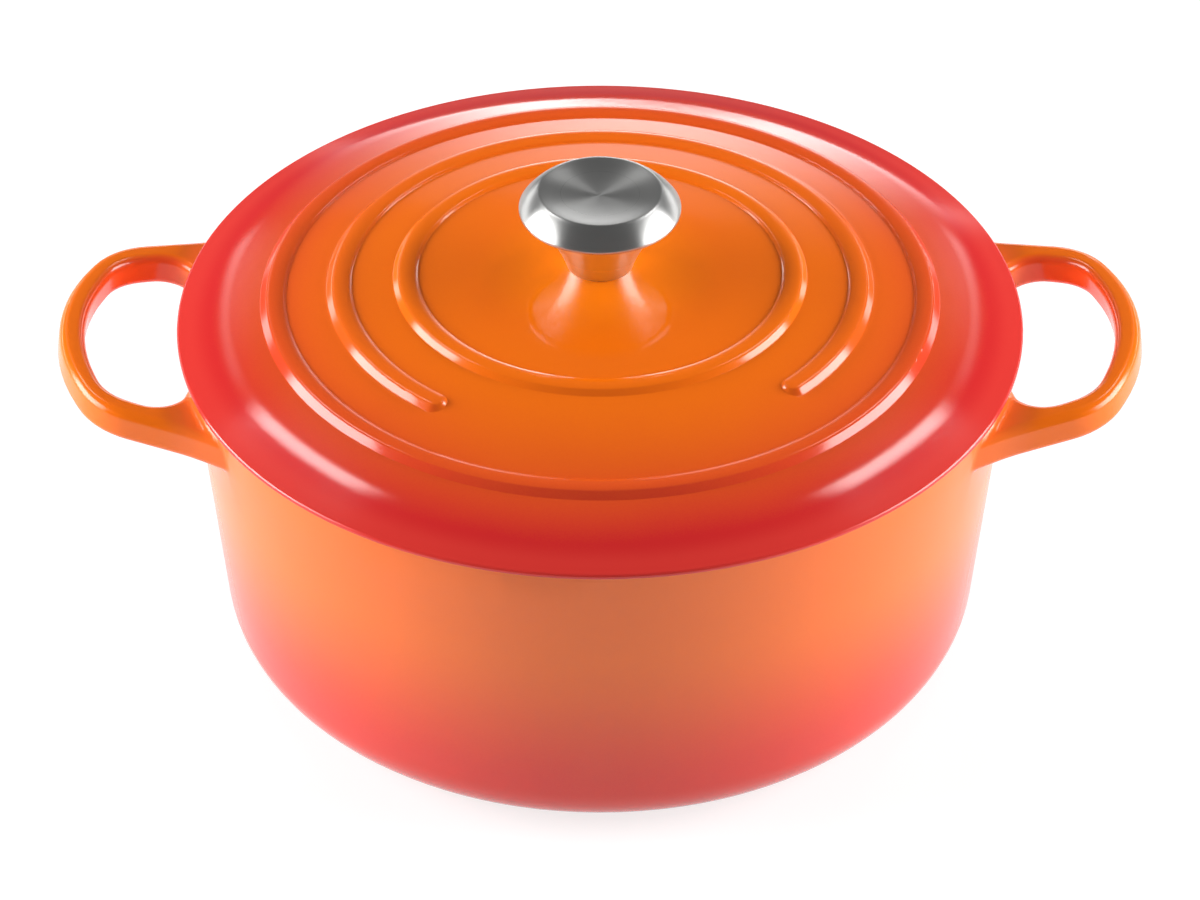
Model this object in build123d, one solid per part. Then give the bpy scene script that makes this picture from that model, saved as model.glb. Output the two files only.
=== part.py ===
from build123d import *
import math
import os

# Sizes are in millimetres and angles in degrees.
# The origin is the centre of the underside, +Z is up and the two handles lie along X.

# Pot wall and base
rim_radius = 144.1
pot_height = 123.5
wall = 3.7
wall_draft = 6.0
base_thickness = 4.2
base_corner_radius = 22.5
rim_rounding = 0.9
foot_ring_width = 15.0
foot_recess_depth = 0.8
foot_recess_slope = 2.0

# Loop handles: x is counted outwards from the rim, y sideways from the handle's middle
handle_drop = 10.7
handle_tilt = 7.0
handle_thickness = 12.2
handle_edge_rounding = 3.4
handle_wall_fillet = 4.0
handle_anchor = (-24.1, 67.6)
handle_flare = (-3.6, 58.1)
handle_corner = (30.3, 48.2)
handle_tip = (53.5, 0)
handle_flare_radius = 66.0
handle_corner_radius = 28.5
grip_anchor = (-7.1, 10.0)
grip_foot = (0.5, 38.0)
grip_shoulder = (8.1, 45.2)
grip_corner = (26.3, 38.8)
grip_tip = (41.5, 0)
grip_foot_radius = 9.0
grip_shoulder_radius = 11.5
grip_corner_radius = 18.5
bar_straight = 3.1

# Lid dome, edge and seat
lid_overhang = 3.3
lid_rise = 25.0
dome_radius = 500.0
skirt_width = 15.2
skirt_slope = 19.8
shoulder_rounding = 90.0
lid_thickness = 3.5
lid_edge_top_rounding = 1.2
lid_edge_bottom_rounding = 0.6
seat_width = 2.8
seat_step_slope = 1.6
knob_seat_cut = 0.15
knob_hole_gap = 0.4
knob_pad_radius = 13.5
knob_pad_drop = 1.2

# Raised rings on the lid, counted from the middle
ring_count = 3
first_ring_radius = 67.0
ring_pitch = 22.9
open_ring = 1
open_ring_start = 316.8
open_ring_sweep = 275.0
ring_crest_width = 6.3
ring_crest_crown = 0.45
ring_height = 1.8
ring_flank_slope = 50.0
ring_root_depth = 2.0
ring_crest_rounding = 1.5
ring_foot_fillet = 0.5

# Lugs under the lid that keep it centred in the pot
lug_count = 3
lug_length = 36.0
lug_width = 4.2
lug_drop = 4.5
lug_clearance = 1.6
lug_rounding = 1.0

# Knob, heights counted from its seat on the lid
knob_height = 30.1
knob_radius = 28.0
knob_dish_radius = 21.2
knob_dish_depth = 1.8
knob_rim_height = 23.6
knob_brow_slope = 56.0
knob_rim_bottom = 22.3
knob_seam_height = 23.1
knob_edge_rounding = 0.6
knob_crease_rounding = 2.0
knob_base_radius = 11.5
knob_stem_lean = 17.0
knob_shell = 1.6
knob_ledge_width = 2.0
press_gap = 0.05
bush_flange_height = 3.0
bush_radius = 6.0
bush_roof = 3.0

# Screw and washers, M6
screw_radius = 3.0
screw_bite = 12.0
screw_tip_chamfer = 0.8
screw_head_radius = 6.0
screw_head_height = 3.6
screw_head_rounding = 1.8
drive_width = 1.2
drive_length = 6.4
drive_depth = 2.0
thread_gap = 0.05
thread_runout = 2.0
washer_radius = 9.0
washer_thickness = 1.4
washer_bore_radius = 3.3
lock_washer_radius = 5.6
lock_washer_thickness = 1.6
lock_washer_bore_radius = 3.1
lock_washer_slit = 1.2


def tangent(degrees):
    return math.tan(math.radians(degrees))


def turned(*lines):
    """Turn a closed outline of (radius, height) lines about Z."""
    return revolve(Plane.XZ * make_face(lines), Axis.Z)


def turned_outline(*points):
    """Turn a closed outline of straight lines about Z."""
    return turned(Polyline(*points, close=True))


def rounded(solid, size, radius, height):
    """Round the circular edge of a turned solid that lies at a radius and height."""
    rim = [e for e in solid.edges().filter_by(GeomType.CIRCLE)
           if abs(e.radius - radius) < 0.01 and abs(e.center().Z - height) < 0.01]
    return fillet(rim, size)


# Pot wall, hollow and foot
draft_rate = tangent(wall_draft)
wall_inset = wall / math.cos(math.radians(wall_draft))
foot_radius = rim_radius - pot_height * draft_rate
inner_rim_radius = rim_radius - wall_inset
inner_foot_radius = inner_rim_radius - (pot_height - base_thickness) * draft_rate
foot_flat_radius = foot_radius - base_corner_radius / tangent(45 + wall_draft / 2)
foot_recess_radius = foot_flat_radius - foot_ring_width

vessel = turned_outline((0, 0), (foot_radius, 0), (rim_radius, pot_height), (0, pot_height))
vessel = rounded(vessel, base_corner_radius, foot_radius, 0)
vessel = rounded(vessel, rim_rounding, rim_radius, pot_height)

hollow = turned_outline(
    (0, base_thickness),
    (inner_foot_radius, base_thickness),
    (inner_rim_radius, pot_height),
    (0, pot_height),
)
hollow = rounded(hollow, base_corner_radius - wall, inner_foot_radius, base_thickness)

foot_recess = turned_outline(
    (0, 0),
    (foot_recess_radius, 0),
    (foot_recess_radius - foot_recess_slope, foot_recess_depth),
    (0, foot_recess_depth),
)

# Each handle is a plate with a rounded outline and a finger opening, laid on a climbing plane.
handle_plane = Plane(
    origin=(rim_radius, 0, pot_height - handle_drop),
    x_dir=(1, 0, tangent(handle_tilt)),
    z_dir=(-tangent(handle_tilt), 0, 1),
)


def heading(start, end):
    return math.atan2(end[1] - start[1], end[0] - start[0])


def loop(points, radii):
    """Close an outline given from its inner end out to the bar, mirrored about the handle's middle.

    The bar's own radius follows from the last corner, so that a short straight stretch stays between them.
    """
    upper = [(x / math.cos(math.radians(handle_tilt)), y) for x, y in points]
    lower = [(x, -y) for x, y in upper[-2::-1]]
    bar_lean = heading(upper[-2], upper[-1])
    corner_turn = heading(upper[-3], upper[-2]) - bar_lean
    bar_half = math.dist(upper[-2], upper[-1]) - radii[-1] * math.tan(corner_turn / 2) - bar_straight
    bar_radius = bar_half / math.tan(bar_lean + math.pi / 2)
    path = FilletPolyline(*upper, *lower, radius=radii + [bar_radius] + radii[::-1])
    return make_face([*path.edges(), Line(lower[-1], upper[0])])


handle_outline = loop(
    [handle_anchor, handle_flare, handle_corner, handle_tip],
    [handle_flare_radius, handle_corner_radius],
)
finger_opening = loop(
    [grip_anchor, grip_foot, grip_shoulder, grip_corner, grip_tip],
    [grip_foot_radius, grip_shoulder_radius, grip_corner_radius],
)
plate = extrude(handle_outline - finger_opening, handle_thickness / 2, both=True)
root_end = plate.bounding_box().min.X
long_edges = [e for e in plate.edges()
              if abs(abs(e.center().Z) - handle_thickness / 2) < 0.01 and e.center().X > root_end + 0.01]
plate = fillet(long_edges, handle_edge_rounding)
handle = handle_plane * plate


def is_handle_root(edge):
    """True for the edges where a handle runs into the wall."""
    along = [edge.position_at(t) for t in (0, 0.5, 1)]
    on_wall = [abs(math.hypot(p.X, p.Y) - rim_radius + (pot_height - p.Z) * draft_rate) < 0.02 for p in along]
    beside = [pot_height / 2 < p.Z < pot_height - 1 for p in along]
    return all(on_wall) and all(beside)


# One half of the casting is blended and mirrored, so both handles are alike.
half_length = 2 * rim_radius
right_side = Pos(half_length / 2, 0, pot_height / 2) * Box(half_length, half_length, 2 * pot_height)
right_half = vessel + handle
right_half = fillet([e for e in right_half.edges() if is_handle_root(e)], handle_wall_fillet)
right_half = right_half & right_side
pot_body = right_half + mirror(right_half, Plane.YZ)
pot_body = pot_body - hollow - foot_recess
pot_body = rounded(pot_body, rim_rounding, inner_rim_radius, pot_height)

# Lid, a shell between two arcs about one centre, with a steeper skirt outside its shoulder
lid_radius = rim_radius + lid_overhang
shoulder_radius = lid_radius - skirt_width
dome_crown = pot_height + lid_rise
dome_centre = dome_crown - dome_radius
seat_inner_radius = inner_rim_radius - seat_width
knob_hole_radius = screw_radius + knob_hole_gap
knob_seat = dome_crown - knob_seat_cut
knob_pad = dome_crown - lid_thickness - knob_pad_drop


def dome_point(radius, depth):
    """A point of the dome at a radius, some depth under its outer face."""
    return (radius, dome_centre + math.sqrt((dome_radius - depth) ** 2 - radius ** 2))


def dome_arc(start, end, depth):
    middle = (start + end) / 2
    return ThreePointArc(dome_point(start, depth), dome_point(middle, depth), dome_point(end, depth))


flat_radius = math.sqrt(dome_radius ** 2 - (knob_seat - dome_centre) ** 2)
underside_radius = seat_inner_radius - seat_step_slope
shoulder = dome_point(shoulder_radius, 0)
lid_edge_height = shoulder[1] - skirt_width * tangent(skirt_slope)
lid_outline = make_face([
    Line((knob_hole_radius, knob_seat), (flat_radius, knob_seat)),
    dome_arc(flat_radius, shoulder_radius, 0),
    Polyline(
        shoulder,
        (lid_radius, lid_edge_height),
        (lid_radius, pot_height),
        (seat_inner_radius, pot_height),
        dome_point(underside_radius, lid_thickness),
    ),
    dome_arc(underside_radius, knob_pad_radius, lid_thickness),
    Polyline(
        dome_point(knob_pad_radius, lid_thickness),
        (knob_pad_radius, knob_pad),
        (knob_hole_radius, knob_pad),
        (knob_hole_radius, knob_seat),
    ),
])
lid_outline = fillet(lid_outline.vertices().sort_by_distance(shoulder)[0], shoulder_rounding)
lid = revolve(Plane.XZ * lid_outline, Axis.Z)
lid = rounded(lid, lid_edge_top_rounding, lid_radius, lid_edge_height)
lid = rounded(lid, lid_edge_bottom_rounding, lid_radius, pot_height)

# Raised rings, each a low ridge whose crowned crest lies level, so that it stands higher over the falling dome
crest_edge = ring_height - ring_crest_crown
root_width = ring_crest_width + 2 * (crest_edge + ring_root_depth) / tangent(ring_flank_slope)
outer_ring_radius = first_ring_radius + (ring_count - 1) * ring_pitch
ridge = make_face([
    ThreePointArc((-ring_crest_width / 2, crest_edge), (0, ring_height), (ring_crest_width / 2, crest_edge)),
    Polyline(
        (ring_crest_width / 2, crest_edge),
        (root_width / 2, -ring_root_depth),
        (-root_width / 2, -ring_root_depth),
        (-ring_crest_width / 2, crest_edge),
    ),
])
ridge = fillet(ridge.vertices().group_by(Axis.Y)[-1], ring_crest_rounding)


def ring_solid(number):
    """A ring around the lid; the open ring stops short of a bare stretch and has round ends."""
    radius = first_ring_radius + number * ring_pitch
    height = dome_point(radius, 0)[1]
    stand = Plane((radius, 0, height), x_dir=(1, 0, 0), z_dir=(0, -1, 0))
    section = stand * ridge
    if number != open_ring:
        return revolve(section, Axis.Z)
    half_ridge = stand * (ridge & (Pos(root_width / 2, 0) * Rectangle(root_width, 3 * root_width)))
    upright = Axis((radius, 0, height), (0, 0, 1))
    sweep = revolve(section, Axis.Z, open_ring_sweep)
    near_end = revolve(half_ridge, upright, -180)
    far_end = Rot(0, 0, open_ring_sweep) * revolve(half_ridge, upright, 180)
    return Rot(0, 0, open_ring_start) * (sweep + near_end + far_end)


def is_ring_foot(edge):
    """True for the edges where a ring meets the dome."""
    along = [edge.position_at(t) for t in (0, 0.5, 1)]
    on_dome = [abs(math.dist((p.X, p.Y, p.Z), (0, 0, dome_centre)) - dome_radius) < 0.001 for p in along]
    between = [flat_radius + 1 < math.hypot(p.X, p.Y) < outer_ring_radius + root_width for p in along]
    return all(on_dome) and all(between)


for number in range(ring_count):
    lid = lid + ring_solid(number)
lid = fillet([e for e in lid.edges() if is_ring_foot(e)], ring_foot_fillet)

# Lugs under the lid
lug_radius = inner_rim_radius - lug_drop * draft_rate - lug_clearance
lug_sweep = math.degrees(lug_length / lug_radius)
lug_face = Plane.XZ * make_face(Polyline(
    (lug_radius - lug_width, pot_height - lug_drop),
    (lug_radius, pot_height - lug_drop),
    dome_point(lug_radius, lid_thickness / 2),
    dome_point(lug_radius - lug_width, lid_thickness / 2),
    close=True,
))
lug = revolve(lug_face, Axis.Z, lug_sweep)
lug = fillet([e for e in lug.edges() if e.center().Z < pot_height], lug_rounding)
first_lug = open_ring_start + (open_ring_sweep - lug_sweep) / 2
for i in range(lug_count):
    lid = lid + Rot(0, 0, first_lug + i * 360 / lug_count) * lug

# Knob cap: a dished disc with a sloping brow and a short skirt that holds the stem
lift = Pos(0, 0, knob_seat)
stem_top_radius = knob_radius - knob_shell - press_gap
dish_floor = knob_height - knob_dish_depth
brow_direction = (-1, tangent(knob_brow_slope))
cap = turned(
    TangentArc((0, dish_floor), (knob_dish_radius, knob_height), tangent=(1, 0)),
    TangentArc((knob_radius, knob_rim_height), (knob_dish_radius, knob_height), tangent=brow_direction),
    Polyline(
        (knob_radius, knob_rim_height),
        (knob_radius, knob_rim_bottom),
        (knob_radius - knob_shell, knob_rim_bottom),
        (knob_radius - knob_shell, knob_seam_height),
        (knob_radius - knob_shell - knob_ledge_width, knob_seam_height),
        (knob_dish_radius, dish_floor - knob_shell),
        (0, dish_floor - knob_shell),
        (0, dish_floor),
    ),
)
cap = rounded(cap, knob_crease_rounding, knob_dish_radius, knob_height)
cap = rounded(cap, knob_edge_rounding, knob_radius, knob_rim_bottom)
cap = rounded(cap, knob_edge_rounding, knob_radius, knob_rim_height)
knob_cap = lift * cap

# Knob stem: a trumpet shell that stands on the lid
lean_direction = (tangent(knob_stem_lean), 1)
base_inner_radius = knob_base_radius - knob_shell
stem_inner_top = stem_top_radius - knob_shell
stem = turned(
    TangentArc((knob_base_radius, 0), (stem_top_radius, knob_seam_height), tangent=lean_direction),
    Line((stem_top_radius, knob_seam_height), (stem_inner_top, knob_seam_height)),
    TangentArc((base_inner_radius, 0), (stem_inner_top, knob_seam_height), tangent=lean_direction),
    Line((base_inner_radius, 0), (knob_base_radius, 0)),
)
knob_stem = lift * stem

# Threaded bush inside the stem
flange_radius = base_inner_radius - press_gap
thread_radius = screw_radius + thread_gap
thread_depth = screw_bite + thread_runout
bush_height = thread_depth + bush_roof
bush = turned_outline(
    (thread_radius, 0),
    (flange_radius, 0),
    (flange_radius, bush_flange_height),
    (bush_radius, bush_flange_height),
    (bush_radius, bush_height),
    (0, bush_height),
    (0, thread_depth),
    (thread_radius, thread_depth),
)
knob_bush = lift * bush

# Washers and screw under the lid, from the pad down
washer_bottom = knob_pad - washer_thickness
lock_bottom = washer_bottom - lock_washer_thickness
head_bottom = lock_bottom - screw_head_height
flat_washer = turned_outline(
    (washer_bore_radius, washer_bottom),
    (washer_radius, washer_bottom),
    (washer_radius, knob_pad),
    (washer_bore_radius, knob_pad),
)
lock_ring = turned_outline(
    (lock_washer_bore_radius, lock_bottom),
    (lock_washer_radius, lock_bottom),
    (lock_washer_radius, washer_bottom),
    (lock_washer_bore_radius, washer_bottom),
)
slit = Pos(lock_washer_radius, 0, lock_bottom) * Box(
    2 * lock_washer_radius, lock_washer_slit, 3 * lock_washer_thickness)
lock_washer = lock_ring - slit
screw_tip = knob_seat + screw_bite
screw = turned_outline(
    (0, head_bottom),
    (screw_head_radius, head_bottom),
    (screw_head_radius, lock_bottom),
    (screw_radius, lock_bottom),
    (screw_radius, screw_tip - screw_tip_chamfer),
    (screw_radius - screw_tip_chamfer, screw_tip),
    (0, screw_tip),
)
screw = rounded(screw, screw_head_rounding, screw_head_radius, head_bottom)
drive = Pos(0, 0, head_bottom) * Box(drive_length, drive_width, 2 * drive_depth)
knob_screw = screw - drive - Rot(0, 0, 90) * drive

pieces = {
    "pot_body": pot_body,
    "lid": lid,
    "knob_cap": knob_cap,
    "knob_stem": knob_stem,
    "knob_bush": knob_bush,
    "knob_screw": knob_screw,
    "flat_washer": flat_washer,
    "lock_washer": lock_washer,
}
os.makedirs("parts", exist_ok=True)
for name, solid in pieces.items():
    export_step(solid, f"parts/{name}.step")
    print(name, "volume", round(solid.volume / 1000, 1), "cm3, valid", solid.is_valid)
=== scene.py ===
# %% [markdown]
# A cast iron dutch oven is a pot and a lid, both cast in iron under a coat of fired glass, and a brushed
# steel knob that is screwed to the lid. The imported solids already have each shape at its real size. This
# lesson is about what they lack: clean shading, enamel sprayed from orange to red, turned steel, and the
# soft light of a product photograph.

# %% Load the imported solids
import math

import bmesh
import bpy
import numpy as np
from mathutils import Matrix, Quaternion, Vector


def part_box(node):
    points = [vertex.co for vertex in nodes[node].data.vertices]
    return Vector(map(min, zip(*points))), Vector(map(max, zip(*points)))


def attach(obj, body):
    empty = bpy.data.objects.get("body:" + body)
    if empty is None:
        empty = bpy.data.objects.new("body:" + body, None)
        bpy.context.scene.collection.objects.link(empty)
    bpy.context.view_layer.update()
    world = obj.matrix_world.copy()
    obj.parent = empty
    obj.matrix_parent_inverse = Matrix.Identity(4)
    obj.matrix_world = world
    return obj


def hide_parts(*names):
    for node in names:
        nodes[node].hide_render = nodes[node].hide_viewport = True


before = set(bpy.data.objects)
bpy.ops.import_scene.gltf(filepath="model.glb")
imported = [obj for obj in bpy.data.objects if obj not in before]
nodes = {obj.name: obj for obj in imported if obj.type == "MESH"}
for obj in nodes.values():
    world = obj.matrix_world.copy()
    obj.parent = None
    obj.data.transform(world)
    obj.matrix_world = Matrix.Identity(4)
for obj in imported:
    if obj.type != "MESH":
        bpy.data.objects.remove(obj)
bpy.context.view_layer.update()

scene = bpy.context.scene
scene.view_settings.view_transform = "Standard"
print("nodes:", ", ".join(sorted(nodes)))

# %% [markdown]
# Colours change where the object changes: at the rim, at the seat of the lid, under the dome. Those
# places could be typed in, but then they would stay behind when the solids change, so they are measured
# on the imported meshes.

# %% Measure the castings
millimetre = 0.001


def points_of(mesh):
    """The places of a mesh's vertices, one row each."""
    flat = np.empty(3 * len(mesh.vertices))
    mesh.vertices.foreach_get("co", flat)
    return flat.reshape(-1, 3)


pot_points = points_of(nodes["pot_body"].data)
rim_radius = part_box("pot_body")[1].y
lid_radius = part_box("lid")[1].x
crown_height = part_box("lid")[1].z
rim_height = pot_points[np.hypot(pot_points[:, 0], pot_points[:, 1]) < rim_radius, 2].max()
print(f"rim: radius {rim_radius:.4f} m, height {rim_height:.4f} m")
print(f"lid: radius {lid_radius:.4f} m, crown at {crown_height:.4f} m")

# %% Measure the wall's draft away from the handles
front_half_width = 0.2 * rim_radius
front_depth = 0.8 * rim_radius
in_front = (np.abs(pot_points[:, 0]) < front_half_width) & (pot_points[:, 1] < -front_depth)
wall = pot_points[in_front]
lower_half = wall[wall[:, 2] < 0.5 * rim_height]
lower_radius = np.hypot(lower_half[:, 0], lower_half[:, 1])
widest = lower_radius.argmax()
draft = (rim_radius - lower_radius[widest]) / (rim_height - lower_half[widest, 2])
print(f"the wall widens by {draft:.3f} m in each metre of height")

# %% [markdown]
# A product photographer stands well back with a long lens, so that the round lid doesn't bulge. The
# camera could be placed by three coordinates, but an angle above the horizon and a distance are easier
# to reason about. A lens of the right length then fills the picture.

# %% Set up the camera
camera_rise = 36.595
camera_distance = 2.2
aim = Vector((0, 0, 0.06757))
sensor_width = 36
lens_length = 186.36


def direction(turn, rise):
    """A way from the pot; turn goes from the front to the right, rise from the horizon, in degrees."""
    around = math.radians(turn)
    above = math.radians(rise)
    level = math.cos(above)
    return Vector((math.sin(around) * level, -math.cos(around) * level, math.sin(above)))


toward_camera = direction(0, camera_rise)
camera = bpy.data.objects.new("camera", bpy.data.cameras.new("camera"))
scene.collection.objects.link(camera)
camera.location = aim + camera_distance * toward_camera
camera.rotation_euler = (-toward_camera).to_track_quat("-Z", "Y").to_euler()
camera.data.sensor_width = sensor_width
camera.data.lens = lens_length
scene.camera = camera
print("camera at", [round(v, 4) for v in camera.location])

# %% [markdown]
# A procedural finish is a formula over the surface. Wiring that formula node by node takes many lines,
# so a small class wraps a node's output socket and lets Python's operators add the Math nodes. Every
# other node comes from one method, which takes the node's type, its settings and what goes into its
# sockets.

# %% A socket that can be calculated with


class Term:
    """A node's output socket, for use in formulas."""

    def __init__(self, graph, socket):
        self.graph = graph
        self.socket = socket

    def __add__(self, other):
        return self.graph.maths("ADD", self, other)

    def __radd__(self, other):
        return self.graph.maths("ADD", other, self)

    def __sub__(self, other):
        return self.graph.maths("SUBTRACT", self, other)

    def __rsub__(self, other):
        return self.graph.maths("SUBTRACT", other, self)

    def __mul__(self, other):
        return self.graph.maths("MULTIPLY", self, other)

    def __rmul__(self, other):
        return self.graph.maths("MULTIPLY", other, self)

    def __truediv__(self, other):
        return self.graph.maths("DIVIDE", self, other)

    def __rtruediv__(self, other):
        return self.graph.maths("DIVIDE", other, self)

    def __pow__(self, other):
        return self.graph.maths("POWER", self, other)

    def __rpow__(self, other):
        return self.graph.maths("POWER", other, self)

    def __abs__(self):
        return self.graph.maths("ABSOLUTE", self)

    def step(self, low, high, kind="SMOOTHSTEP"):
        """0 below low, 1 above high and a smooth or a straight rise in between."""
        sockets = {"Value": self, "From Min": low, "From Max": high}
        return self.graph.add("ShaderNodeMapRange", {"interpolation_type": kind}, sockets)


# %% A graph that nodes are added to


class Graph:
    """The nodes of a material or a lamp."""

    def __init__(self, tree):
        self.tree = tree

    def feed(self, socket, value):
        """Link a term to a socket, or set the socket to a plain value."""
        if isinstance(value, Term):
            self.tree.links.new(value.socket, socket)
        else:
            socket.default_value = value

    def add(self, kind, settings, sockets, out=0):
        """Add a node and give one of its outputs."""
        node = self.tree.nodes.new(kind)
        for name, value in settings.items():
            setattr(node, name, value)
        for name, value in sockets.items():
            self.feed(node.inputs[name], value)
        return Term(self, node.outputs[out])

    def maths(self, operation, *values):
        """What a Math node makes of the values."""
        return self.add("ShaderNodeMath", {"operation": operation}, dict(enumerate(values)))

    def split(self, vector):
        """The three parts of a vector."""
        return [self.add("ShaderNodeSeparateXYZ", {}, {0: vector}, part) for part in range(3)]


# %% A material with its places and directions at hand


class Finish(Graph):
    """A material, with the place and direction of the surface as terms."""

    def __init__(self, name):
        self.material = bpy.data.materials.new(name)
        self.material.use_nodes = True
        super().__init__(self.material.node_tree)
        self.shader = self.tree.nodes["Principled BSDF"]
        self.place = self.add("ShaderNodeTexCoord", {}, {}, "Object")
        self.x, self.y, self.z = self.split(self.place)
        self.radius = (self.x * self.x + self.y * self.y) ** 0.5
        self.nx, self.ny, self.nz = self.split(self.add("ShaderNodeTexCoord", {}, {}, "Normal"))
        self.outward = (self.nx * self.x + self.ny * self.y) / self.radius

    def noise(self, size, detail=2, place=None):
        """Cloudy values around 0.5, with lumps of about the given size in metres."""
        sockets = {"Vector": place or self.place, "Scale": 1 / size, "Detail": detail}
        return self.add("ShaderNodeTexNoise", {}, sockets)

    def mix(self, share, first, second):
        """A colour between two others."""
        return self.add("ShaderNodeMix", {"data_type": "RGBA"}, {0: share, 6: first, 7: second}, 2)

    def bump(self, height, depth):
        """A normal for a surface that rises by up to depth metres where height is 1."""
        return self.add("ShaderNodeBump", {}, {"Height": height, "Distance": depth, "Strength": 1.0})

    def coat(self, **values):
        """Set the shader's sockets, named with underscores for spaces, and give the material."""
        for name, value in values.items():
            self.feed(self.shader.inputs[name.replace("_", " ")], value)
        print(self.material.name, "has", len(self.tree.nodes), "nodes")
        return self.material


# %% [markdown]
# The outside is sprayed with glass powder before firing: orange first, then a red mist over the foot of
# the pot and the edge of the lid. A painted picture could show that, but it would have to be unwrapped
# onto the castings. A ramp over height or radius needs no unwrapping, and fine noise breaks it up into
# the dots of the spray. The glass is slightly wavy like orange peel, which a very shallow bump gives.

# %% Colours of the enamel
amber = (0.9, 0.19, 0.001, 1)
orange = (0.88, 0.158, 0.003, 1)
pot_orange = (0.9, 0.168, 0.02, 1)
pot_red = (0.76, 0.045, 0.03, 1)
deep_red = (0.64, 0.02, 0.02, 1)
edge_red = (0.7, 0.036, 0.028, 1)
cream = (0.8, 0.71, 0.54, 1)
sand = (0.74, 0.63, 0.45, 1)
rim_black = (0.02, 0.018, 0.017, 1)
print("the enamel goes from", amber[:3], "to", deep_red[:3])

# %% Spray, lining and glass
dot_size = 0.5 * millimetre
dot_strength = 0.16
drift_size = 40 * millimetre
drift_strength = 0.14
cloud_size = 25 * millimetre
peel_size = 4 * millimetre
peel_depth = 0.01 * millimetre


def sprayed(finish, ramp):
    """Break a ramp up with the dots of a spray and a slow drift."""
    dots = finish.noise(dot_size, 1) - 0.5
    drift = finish.noise(drift_size) - 0.5
    return ramp + dots * dot_strength + drift * drift_strength


def lining(finish):
    """The cream glaze inside, clouded a little where it ran thin."""
    return finish.mix(finish.noise(cloud_size, 3), sand, cream)


def glassy(finish, colour, roughness):
    """Fired glass over iron."""
    return finish.coat(
        Base_Color=colour,
        Roughness=roughness,
        Specular_IOR_Level=0.5,
        IOR=1.5,
        Normal=finish.bump(finish.noise(peel_size, 1), peel_depth),
    )


print(f"spray dots of {dot_size} m, peel {peel_depth} m deep")

# %% [markdown]
# On the pot the mist thins out on the way up the wall. The handles stay orange, but faces that look into
# their loops are painted redder: partly mist caught there, partly painted shade and painted reflection
# inside the loop. A mask painted by hand could mark those faces. Here the direction from each point to the
# middle of the grip tells which faces look into the loop.

# %% Enamel of the wall
pot_enamel = Finish("pot_enamel")
red_below = 0.15 * rim_height
orange_above = 0.72 * rim_height
wall_ramp = sprayed(pot_enamel, pot_enamel.z.step(red_below, orange_above))
wall_colour = pot_enamel.mix(wall_ramp, pot_red, pot_orange)
print(f"the wall is red below {red_below:.3f} m and orange above {orange_above:.3f} m")

# %% Enamel of the handles
handle_start = rim_radius - 2 * millimetre
handle_clear = rim_radius + 8 * millimetre
loop_middle = rim_radius + 16 * millimetre
loop_mist_and_shade = 0.6
reach = abs(pot_enamel.x)
on_handle = reach.step(handle_start, handle_clear)
to_loop = pot_enamel.x / reach * loop_middle - pot_enamel.x
loop_distance = (to_loop * to_loop + pot_enamel.y * pot_enamel.y) ** 0.5
faces_loop = (pot_enamel.nx * to_loop - pot_enamel.ny * pot_enamel.y) / loop_distance
# faces that look into the loop are painted redder: partly caught mist, partly painted shade and painted
# reflection
loop_mist_and_shade_ramp = sprayed(pot_enamel, faces_loop.step(0.1, 0.8) * loop_mist_and_shade)
handle_colour = pot_enamel.mix(loop_mist_and_shade_ramp, orange, pot_red)
outside = pot_enamel.mix(on_handle, wall_colour, handle_colour)
print(f"the middle of each grip is {loop_middle:.3f} m from the axis")

# %% [markdown]
# Inside, the pot is lined with cream enamel, and the rim under the lid has only a dull dark coat. Each
# could be a material of its own on chosen faces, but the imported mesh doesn't know its faces by name. So
# one material holds them all, and masks choose the coat by place and direction: what lies behind the
# wall and looks in or up is lining.

# %% Lining and rim of the pot
lining_from = 1.5 * millimetre
lining_full = 2.5 * millimetre
wall_surface = rim_radius - (rim_height - pot_enamel.z) * draft
behind_wall = (wall_surface - pot_enamel.radius).step(lining_from, lining_full)
faces_in = 1 - pot_enamel.outward.step(-0.6, -0.2)
faces_up = pot_enamel.nz.step(0.3, 0.6)
inside = behind_wall * pot_enamel.maths("MAXIMUM", faces_in, faces_up)
lined = pot_enamel.mix(inside, outside, lining(pot_enamel))
rim_from = rim_height - 1.2 * millimetre
rim_full = rim_height - 0.6 * millimetre
rim_share = pot_enamel.z.step(rim_from, rim_full) * (1 - on_handle)
pot_colour = pot_enamel.mix(rim_share, lined, rim_black)
enamel_roughness = 0.17
rim_dullness = 0.3
pot_material = glassy(pot_enamel, pot_colour, enamel_roughness + rim_share * rim_dullness)

# %% [markdown]
# The lid carries the red mist at its edge, where the spray gun circles it, and a little more on the
# outer flanks of its rings. That could be a ramp over the radius alone, but rings of an even colour look
# printed, so the direction of each face counts too. Underneath, the lid is lined like the pot. Away from
# its edge a face counts as lining unless it looks up, which takes in the sides of the seat and of the
# lugs that centre the lid.

# %% Enamel on top of the lid
lid_enamel = Finish("lid_enamel")
mist_from = 0.475
mist_full = 0.92
mist_curve = 1.6
flank_mist = 0.15
toward_edge = lid_enamel.radius / lid_radius
mist = toward_edge.step(mist_from, mist_full, "LINEAR") ** mist_curve
caught = lid_enamel.outward.step(0.36, 0.75) * toward_edge.step(0.4, 0.6)
middle = lid_enamel.mix(toward_edge.step(0.14, 0.32), amber, orange)
misted = lid_enamel.mix(sprayed(lid_enamel, mist + caught * flank_mist), middle, deep_red)
lid_top = lid_enamel.mix(toward_edge.step(mist_full, 0.97), misted, edge_red)
print(f"the red mist starts {mist_from * lid_radius:.3f} m from the axis")

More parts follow.
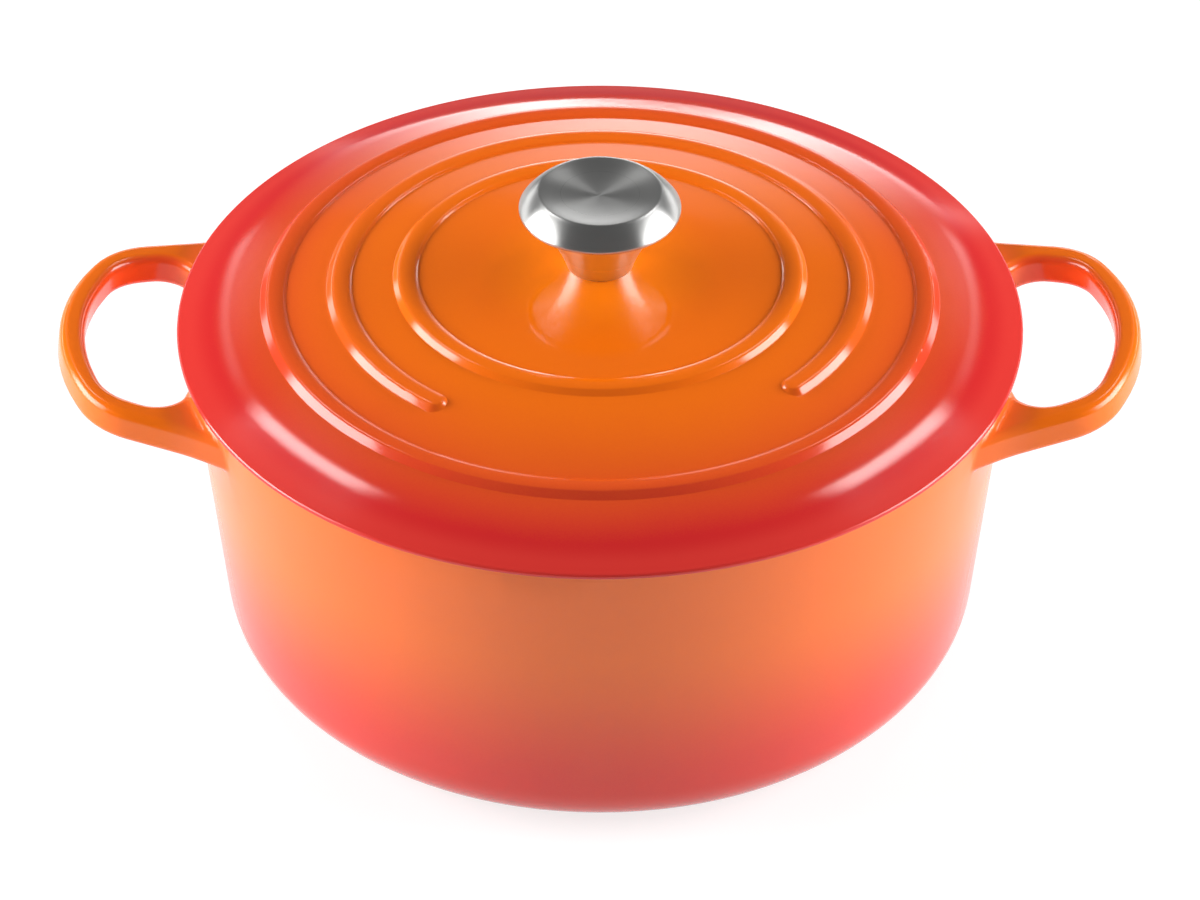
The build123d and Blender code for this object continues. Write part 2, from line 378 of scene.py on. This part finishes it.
# %% Lining under the lid
inner_tilt = 0.5
at_edge = toward_edge.step(0.955, 0.965)
looks_up = (lid_enamel.nz - (1 - at_edge) * inner_tilt).step(-0.35, -0.05)
on_lip = lid_enamel.outward.step(0.5, 0.8) * at_edge
underneath = (1 - looks_up) * (1 - on_lip)
lid_colour = lid_enamel.mix(underneath, lid_top, lining(lid_enamel))
lid_roughness = 0.1
lid_material = glassy(lid_enamel, lid_colour, lid_roughness)

# %% [markdown]
# The knob is spun and brushed on a lathe, so its scratches run in circles and are far too fine to model.
# A rough metal would blur its highlights evenly, and an anisotropic one stretches them one way. A
# quarter of a turn makes that way run across the scratches, which gives the fan of light that turned
# dishes show. Noise over the radius alone makes the grooves. The parts that hold the knob are plain
# steel with a fine grain.

# %% Turned steel
groove_width = 0.25 * millimetre
groove_depth = 0.003 * millimetre
quarter_turn = 0.25
blue_share = 0.98


def turned_steel(name, tone, smooth, rough, brushing):
    """Steel with fine grooves in circles; its roughness runs from smooth to rough over the grooves."""
    finish = Finish(name)
    only_radius = finish.add("ShaderNodeCombineXYZ", {}, {0: finish.radius})
    grooves = finish.noise(groove_width, 3, only_radius)
    return finish.coat(
        Base_Color=(tone, tone, blue_share * tone, 1),
        Metallic=1.0,
        Roughness=smooth + grooves * (rough - smooth),
        Anisotropic=brushing,
        Anisotropic_Rotation=quarter_turn,
        Normal=finish.bump(grooves, groove_depth),
    )


knob_material = turned_steel("knob_steel", tone=0.66, smooth=0.24, rough=0.34, brushing=0.75)
neck_material = turned_steel("neck_steel", tone=0.74, smooth=0.24, rough=0.34, brushing=0.3)

# %% Plain steel
grain_size = 0.8 * millimetre
smoothest = 0.25
grain_dullness = 0.15
plain_steel = Finish("plain_steel")
plain_material = plain_steel.coat(
    Base_Color=(0.52, 0.52, 0.51, 1),
    Metallic=1.0,
    Roughness=smoothest + plain_steel.noise(grain_size) * grain_dullness,
)

# %% [markdown]
# The imported meshes are cut up along the edges of the solids' faces, and each patch was shaded by itself,
# which shows as seams in the gloss. Finer meshes would hide them, but the meshes are fixed. Here copies
# stand in for them: the patches are welded again, and a fold of more than 30 degrees stays sharp.

# %% Weld the patches
weld_distance = 0.001 * millimetre
crease = math.radians(30)


def welded(node, name):
    """A piece with a node's mesh in one skin, smooth except at creases."""
    work = bmesh.new()
    work.from_mesh(nodes[node].data)
    bmesh.ops.remove_doubles(work, verts=work.verts, dist=weld_distance)
    mesh = bpy.data.meshes.new(name)
    work.to_mesh(mesh)
    work.free()
    if "custom_normal" in mesh.attributes:
        mesh.attributes.remove(mesh.attributes["custom_normal"])
    mesh.shade_smooth()
    mesh.set_sharp_from_angle(angle=crease)
    piece = bpy.data.objects.new(name, mesh)
    scene.collection.objects.link(piece)
    print(name, "has", len(mesh.vertices), "points")
    return piece


# %% [markdown]
# A normal at a corner is the mean of the faces round it, weighed by their angles there. That is right on
# curves. Beside a wide face it would tilt a surface that is really flat, so there the faces count by
# their area as well.

# %% Normals for curves and for flats
flat_width = 3 * millimetre


def corner_normals(mesh):
    """The normals of a mesh's face corners, one row each."""
    flat = np.empty(3 * len(mesh.loops))
    mesh.corner_normals.foreach_get("vector", flat)
    return flat.reshape(-1, 3)


def area_normals(piece):
    """Corner normals in which faces count by their area as well."""
    weighted = piece.modifiers.new("weighted", "WEIGHTED_NORMAL")
    weighted.mode = "FACE_AREA_WITH_ANGLE"
    weighted.keep_sharp = True
    evaluated = piece.evaluated_get(bpy.context.evaluated_depsgraph_get())
    normals = corner_normals(evaluated.data)
    piece.modifiers.clear()
    return normals


def beside_flats(corners, radius):
    """True at each corner of a point that touches a face wider than flat_width, measured outward."""
    faces = radius.reshape(-1, 3)
    width = np.repeat(faces.max(1) - faces.min(1), 3)
    widest_at = np.zeros(corners.max() + 1)
    np.maximum.at(widest_at, corners, width)
    return widest_at[corners] > flat_width


print(f"a face is wide from {flat_width} m on")

# %% [markdown]
# Nearly everything here is turned round one axis, and there a normal can't lean sideways. The long thin
# triangles of the mesh still bring in some lean, which gloss shows as ripples. So a small lean is taken
# out, and the tilt that is left gets the same value all round each circle. The handles aren't turned, so
# they and their roots are left out.

# %% Normals that are true round the axis
sideways_limit = math.sin(math.radians(5))
circle_width = 0.004 * millimetre
tilt_spread = math.radians(10)
least_radius = 1e-9
root_half_width = 78 * millimetre
root_underside = 90 * millimetre
root_inside = 110 * millimetre


def everywhere(places):
    """True at all places, for a piece that is turned all over."""
    return np.ones(len(places), bool)


def off_handles(places):
    """True away from the handles and their roots."""
    beside = np.abs(places[:, 1]) > root_half_width
    below = places[:, 2] < root_underside
    inward = np.abs(places[:, 0]) < root_inside
    return beside | below | inward


def circle_means(tilt, radius, height):
    """Tilts, averaged round each circle, unless they spread as on a crease."""
    circle = np.round(np.column_stack([radius, height]) / circle_width)
    _, group = np.unique(circle, axis=0, return_inverse=True)
    group = group.ravel()
    count = np.bincount(group)
    mean = (np.bincount(group, tilt) / count)[group]
    spread = (np.bincount(group, (tilt - mean) ** 2) / count)[group]
    return np.where(spread < tilt_spread ** 2, mean, tilt)


def straighten(normals, places, is_turned):
    """Take the sideways lean out of the normals of turned surfaces."""
    radius = np.hypot(places[:, 0], places[:, 1])
    level = np.zeros(len(places))
    outward = np.column_stack([places[:, 0], places[:, 1], level])
    outward /= np.maximum(radius, least_radius)[:, None]
    around = np.column_stack([-outward[:, 1], outward[:, 0], level])
    turned = (np.abs((normals * around).sum(1)) < sideways_limit) & is_turned(places)
    tilt = np.arctan2((normals * outward).sum(1), normals[:, 2])[turned]
    tilt = circle_means(tilt, radius[turned], places[turned, 2])[:, None]
    normals[turned] = outward[turned] * np.sin(tilt) + np.array([0, 0, 1]) * np.cos(tilt)
    print(turned.sum(), "of", len(normals), "corners straightened")


# %% [markdown]
# Each casting and each turned steel part now gets its copy, its material and its body. The screw, the
# washers and the bush inside the knob show little and are shaded well enough, so they keep their packed
# meshes and get plain steel.

# %% Put the pieces in place


def smooth_copy(node, name, is_turned):
    """A piece that stands for a node, with clean normals."""
    piece = welded(node, name)
    mesh = piece.data
    corners = np.empty(len(mesh.loops), int)
    mesh.loops.foreach_get("vertex_index", corners)
    places = points_of(mesh)[corners]
    normals = corner_normals(mesh)
    flats = beside_flats(corners, np.hypot(places[:, 0], places[:, 1]))
    normals[flats] = area_normals(piece)[flats]
    straighten(normals, places, is_turned)
    mesh.normals_split_custom_set(normals.tolist())
    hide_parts(node)
    return piece


pieces = [
    ("pot_body", "pot_casting", "pot", "pot_enamel", pot_material, off_handles),
    ("lid", "lid_casting", "lid_assembly", "lid_enamel", lid_material, everywhere),
    ("knob_cap", "knob_dish", "lid_assembly", "knob_steel", knob_material, everywhere),
    ("knob_stem", "knob_neck", "lid_assembly", "knob_steel", neck_material, everywhere),
]
for node, name, body, slot, material, is_turned in pieces:
    piece = smooth_copy(node, name, is_turned)
    piece.data.materials.clear()
    piece.data.materials.append(material)
    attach(piece, body)
    print(name, "rides on", body)
for node in ("knob_bush", "knob_screw", "flat_washer", "lock_washer"):
    nodes[node].data.materials.clear()
    nodes[node].data.materials.append(plain_material)

# %% [markdown]
# The pot stands on plain white paper. Paper that is lit until it renders white would light the pot from
# below too. So the camera, mirrors and glass see paper that glows under its shading, which keeps the pot's
# soft shadow, and all other light meets plain grey paper. That glow is a painted pool of light: far from the
# pot the paper is painted dark instead, because gloss needs something dark to show beside the white.

# %% Lay the floor
floor_reach = 6.0
square = [(-1, -1), (1, -1), (1, 1), (-1, 1)]
floor_mesh = bpy.data.meshes.new("floor")
floor_mesh.from_pydata([(x * floor_reach, y * floor_reach, 0) for x, y in square], [], [(0, 1, 2, 3)])
floor = bpy.data.objects.new("floor", floor_mesh)
scene.collection.objects.link(floor)
print(f"floor {2 * floor_reach} m wide")

# %% Make it paper
pool_from = 0.65
pool_to = 1.2
paper_grey = 0.8


def grey(value):
    """A colour without hue."""
    return (value, value, value, 1)


def glowing_paper(shade, glow):
    """Paper of one grey that glows with another."""
    shaded = paper.add("ShaderNodeBsdfDiffuse", {}, {"Color": grey(shade)})
    glowing = paper.add("ShaderNodeEmission", {}, {"Color": grey(glow), "Strength": 1.0})
    return paper.add("ShaderNodeAddShader", {}, {0: shaded, 1: glowing})


paper = Finish("paper")
# the glow near the pot is a painted pool of light, and the far paper is painted dark
near = 1 - paper.radius.step(pool_from, pool_to)
painted_dark_paper = glowing_paper(shade=0.05, glow=0.1)
white_paper = glowing_paper(shade=0.3, glow=0.78)
painted_light_pool = paper.add("ShaderNodeMixShader", {}, {0: near, 1: painted_dark_paper, 2: white_paper})
bounce = paper.add("ShaderNodeBsdfDiffuse", {}, {"Color": grey(paper_grey)})
ray_kinds = ("Is Camera Ray", "Is Glossy Ray", "Is Transmission Ray")
by_camera, by_gloss, by_glass = [paper.add("ShaderNodeLightPath", {}, {}, kind) for kind in ray_kinds]
seen = paper.maths("MAXIMUM", paper.maths("MAXIMUM", by_camera, by_gloss), by_glass)
surface = paper.add("ShaderNodeMixShader", {}, {0: seen, 1: bounce, 2: painted_light_pool})
paper.feed(paper.tree.nodes["Material Output"].inputs["Surface"], surface)
floor_mesh.materials.append(paper.material)
print(f"the paper is white up to {pool_from} m from the pot's axis")

# %% [markdown]
# Gloss shows each lamp as a shape, so the lamps are panels of a known size that face the pot. A photo
# studio softens them with cloth. Here a panel's light fades over a share of its width or height, which
# decides whether its mirror image in the enamel ends softly or sharply. The energy grows with the area,
# so that a larger panel isn't a dimmer one.

# %% A panel that faces the pot
pot_middle = Vector((0, 0, crown_height))
energy_per_area = 4


def fade(light, turn, soft, top):
    """Fade a panel at its inner, outer, lower and upper edge, by shares of its size, and towards its top."""
    glow = Graph(light.node_tree)
    across, up, _ = glow.split(glow.add("ShaderNodeNewGeometry", {}, {}, "Parametric"))
    inner = across if turn < 0 else 1 - across
    strength = top ** up
    for share, edge in zip(soft, (inner, 1 - inner, up, 1 - up)):
        if share:
            strength = strength * edge.step(0, share)
    glow.feed(light.node_tree.nodes["Emission"].inputs["Color"], strength)


def panel(name, turn, rise, distance, width, height, brightness, soft, top=1.0, roll=0):
    """A lamp in the direction of turn and rise; roll leans it about the line to the pot, in degrees."""
    light = bpy.data.lights.new(name, "AREA")
    light.shape = "RECTANGLE"
    light.size = width
    light.size_y = height
    light.energy = energy_per_area * width * height * brightness
    light.use_nodes = True
    fade(light, turn, soft, top)
    lamp = bpy.data.objects.new(name, light)
    scene.collection.objects.link(lamp)
    away = direction(turn, rise)
    lamp.location = pot_middle + distance * away
    facing = away.to_track_quat("Z", "Y") @ Quaternion((0, 0, 1), math.radians(roll))
    lamp.rotation_euler = facing.to_euler()
    lamp.visible_camera = False
    print(f"{name}: {width} m by {height} m, {turn} degrees round, {rise} degrees up")


# %% [markdown]
# One lamp in front would be simpler, but it would make the round wall look flat. So two large panels at
# the sides light the walls and handles, the left one slightly more, and the front stays a little darker.
# Low panels further back put a rim of light on the wall's edges.

# %% Side panels and low panels
side_brightness = {-1: 9.2, 1: 8.7}
for side in (-1, 1):
    panel(
        f"side_{side}", turn=side * 86, rise=15.5, distance=1.5, width=1.6, height=0.97,
        brightness=side_brightness[side], soft=(0.1, 0.5, 0, 0),
    )
    panel(
        f"low_{side}", turn=side * 138, rise=5, distance=2.5, width=2.2, height=0.35,
        brightness=3.0, soft=(0.3, 0.2, 0.3, 0.3),
    )

# %% [markdown]
# The streaks on the lid's rounded shoulder are mirror images of narrow strips, high up at the back on
# both sides. Wide lamps there would veil the whole lid. A fainter tail below each strip carries its
# streak on along the bend. The wide panel at the back veils the falling dome behind the knob. It is
# brightest at its lower edge, so the veil grows towards the edge of the lid.

# %% Strips, tails and the back panel
for side in (-1, 1):
    panel(
        f"strip_{side}", turn=side * 140.2, rise=50.5, distance=2.5, width=0.28, height=0.95,
        brightness=8.2, soft=(0.25, 0.3, 0.2, 0.25), roll=side * 9,
    )
    panel(
        f"tail_{side}", turn=side * 152.8, rise=27.5, distance=2.5, width=0.27, height=1.3,
        brightness=1.9, soft=(0.55, 0.45, 0.15, 0.2), top=0.35, roll=side * 30,
    )
panel(
    "back", turn=178, rise=14.9, distance=2.6, width=1.9, height=0.93,
    brightness=6.3, soft=(0.35, 0.44, 0, 0), top=0.03, roll=-16,
)

# %% [markdown]
# Between the panels the enamel mirrors the room. A black room would leave hard gaps between the
# highlights, and a bright one would wash the colours out, so the world is a dim grey.

# %% Room
room_grey = 0.11
world = bpy.data.worlds.new("studio")
world.use_nodes = True
world.node_tree.nodes["Background"].inputs["Color"].default_value = grey(room_grey)
scene.world = world
print("room grey", room_grey)
